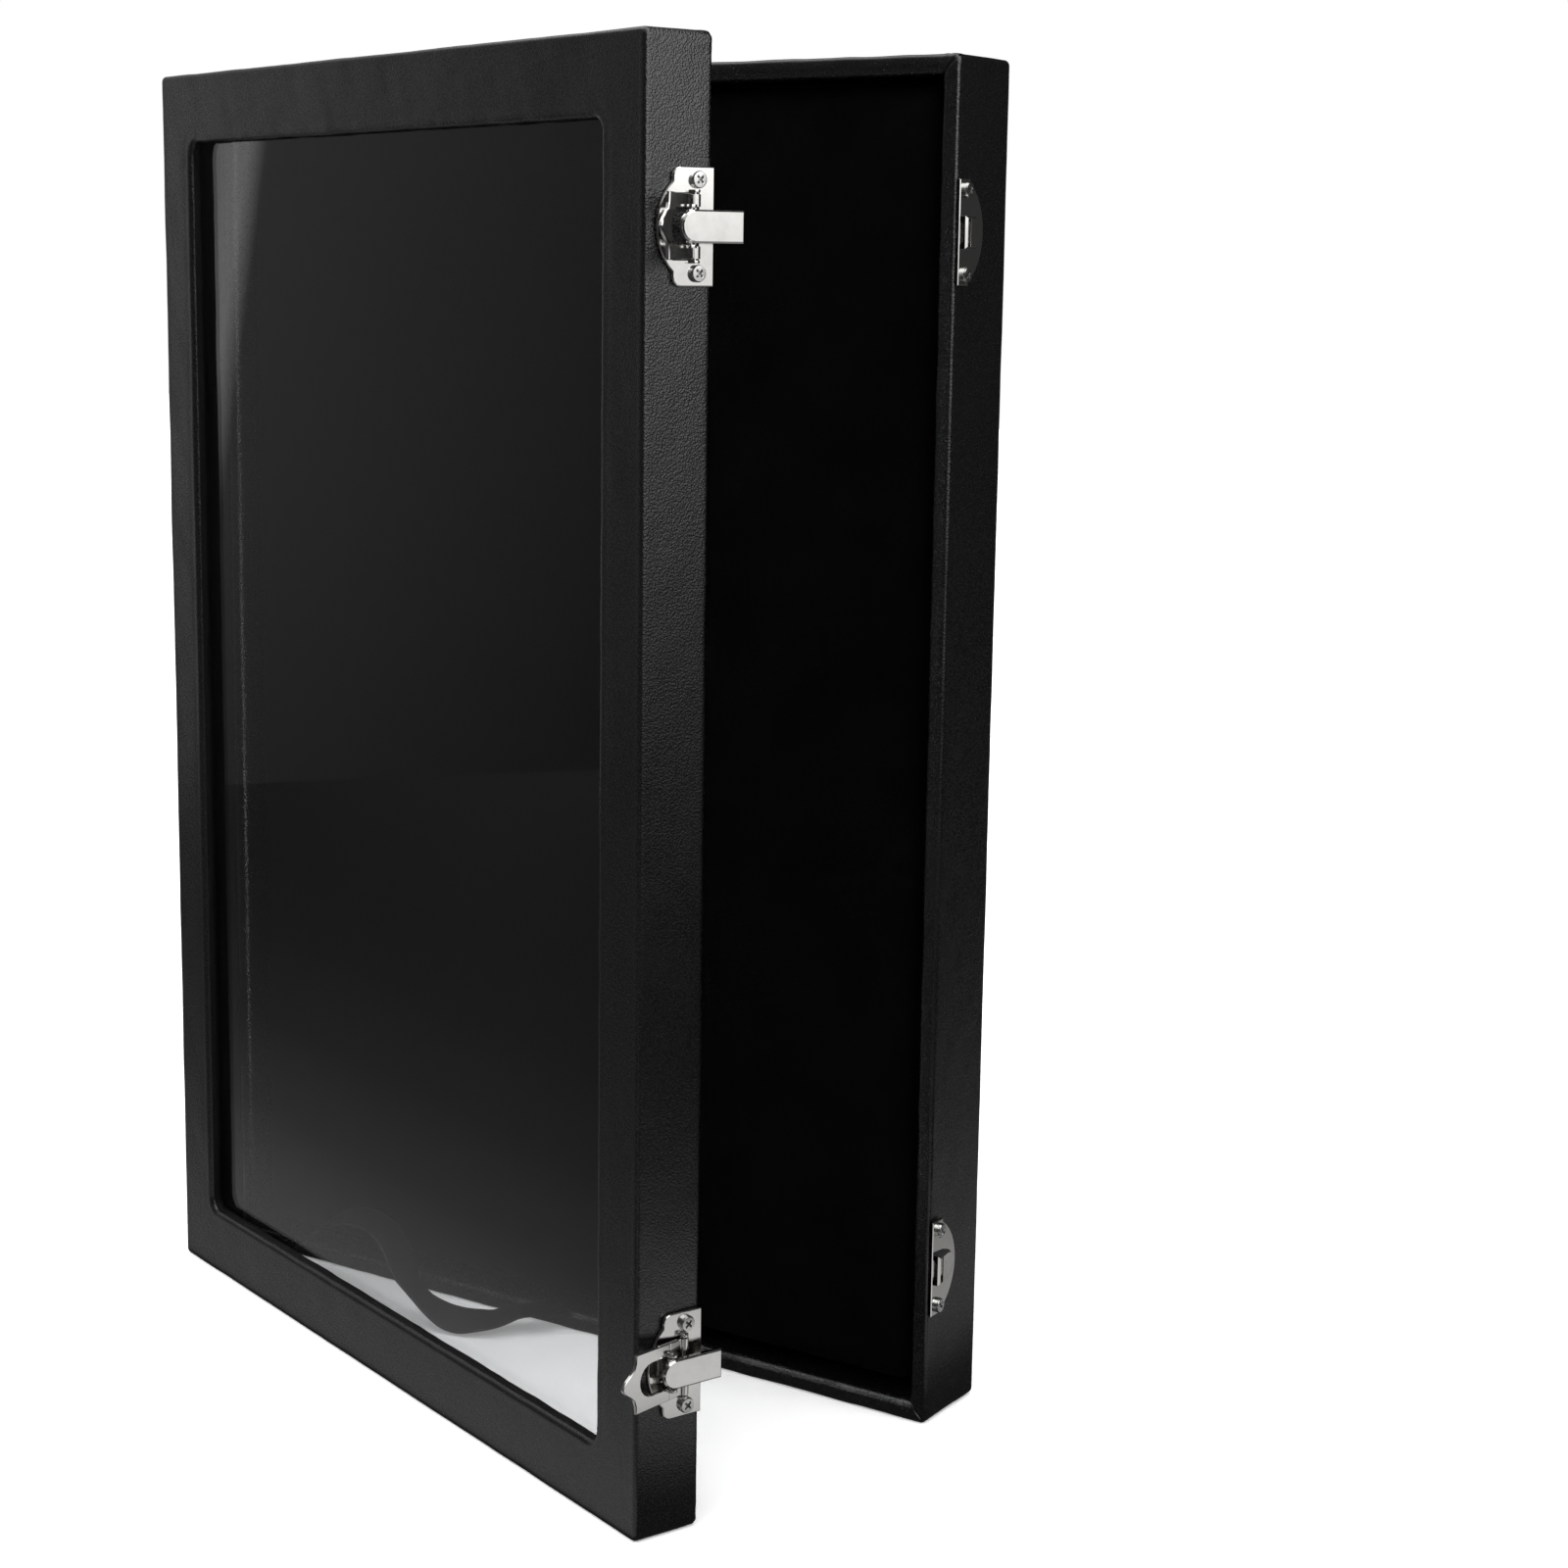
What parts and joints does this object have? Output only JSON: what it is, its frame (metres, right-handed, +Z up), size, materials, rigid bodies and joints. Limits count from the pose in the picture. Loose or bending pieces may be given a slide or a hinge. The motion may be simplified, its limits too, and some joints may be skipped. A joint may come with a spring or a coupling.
{
  "type": "pin display case",
  "caption": "Shallow leatherette display case with a velvet pad for pins and a hinged window lid held by lever latches.",
  "frame": {"origin": "middle of the base's standing face, the short side that the case stands on", "axes": "+Z up along the case's long side, -Y towards the window side, +X towards the latches"},
  "size_m": [0.2512, 0.1375, 0.35],
  "materials": {
    "leatherette": "fine pebbled black imitation leather",
    "board": "raw fibreboard",
    "timber": "raw softwood",
    "velvet": "short black pile",
    "foam": "open cell grey foam",
    "clear": "clear polished",
    "nickel": "polished nickel plate",
    "steel": "bright zinc plate",
    "ribbon": "black satin weave"
  },
  "bodies": {
    "base": {"base_cover": "leatherette", "base_back_sheet": "leatherette", "base_back_board": "board", "base_wall_top": "timber", "base_wall_bottom": "timber", "base_wall_left": "timber", "base_wall_right": "timber", "pad_board": "board", "pad_foam": "foam", "velvet_pad": "velvet", "upper_keeper": "nickel", "lower_keeper": "nickel", "keeper_screw_1": "steel", "keeper_screw_2": "steel", "keeper_screw_3": "steel", "keeper_screw_4": "steel", "stay_ribbon": "ribbon", "upper_hinge_base_leaf": "nickel", "lower_hinge_base_leaf": "nickel", "upper_hinge_pin": "steel", "lower_hinge_pin": "steel", "hinge_base_screw_1": "steel", "hinge_base_screw_2": "steel", "hinge_base_screw_3": "steel", "hinge_base_screw_4": "steel"},
    "lid": {"lid_cover": "leatherette", "lid_front_board": "board", "lid_wall_top": "timber", "lid_wall_bottom": "timber", "lid_wall_left": "timber", "lid_wall_right": "timber", "window_pane": "clear", "pane_retainer": "timber", "upper_latch_plate": "nickel", "lower_latch_plate": "nickel", "latch_plate_screw_1": "steel", "latch_plate_screw_2": "steel", "latch_plate_screw_3": "steel", "latch_plate_screw_4": "steel", "upper_hinge_lid_leaf": "nickel", "lower_hinge_lid_leaf": "nickel", "hinge_lid_screw_1": "steel", "hinge_lid_screw_2": "steel", "hinge_lid_screw_3": "steel", "hinge_lid_screw_4": "steel", "upper_lever_pin": "steel", "lower_lever_pin": "steel"},
    "upper_lever": {"upper_lever": "nickel", "upper_hook_pin": "steel"},
    "upper_hook": {"upper_hook": "nickel"},
    "lower_lever": {"lower_lever": "nickel", "lower_hook_pin": "steel"},
    "lower_hook": {"lower_hook": "nickel"}
  },
  "joints": [
    {"name": "lid_hinge", "type": "hinge", "parent": "base", "child": "lid", "pos_m": [-0.1231, -0.0134, 0.175], "axis": [0, 0, -1], "range_deg": [-20, 67], "deforming": ["stay_ribbon"]},
    {"name": "upper_lever_swing", "type": "hinge", "parent": "lid", "child": "upper_lever", "pos_m": [0.10589, -0.1035, 0.3075], "axis": [0, 0, 1], "range_deg": [-34, 66]},
    {"name": "upper_hook_swing", "type": "hinge", "parent": "upper_lever", "child": "upper_hook", "pos_m": [0.10805, -0.10802, 0.3075], "axis": [0, 0, 1], "range_deg": [-67, 35]},
    {"name": "lower_lever_swing", "type": "hinge", "parent": "lid", "child": "lower_lever", "pos_m": [0.10589, -0.1035, 0.0425], "axis": [0, 0, 1], "range_deg": [-12, 88]},
    {"name": "lower_hook_swing", "type": "hinge", "parent": "lower_lever", "child": "lower_hook", "pos_m": [0.1062, -0.10849, 0.0425], "axis": [0, 0, 1], "range_deg": [-89, 13]}
  ],
  "couplings": [
    {"joint": "upper_hook_swing", "follows": "upper_lever_swing", "ratio": -1},
    {"joint": "lower_hook_swing", "follows": "lower_lever_swing", "ratio": -1}
  ]
}
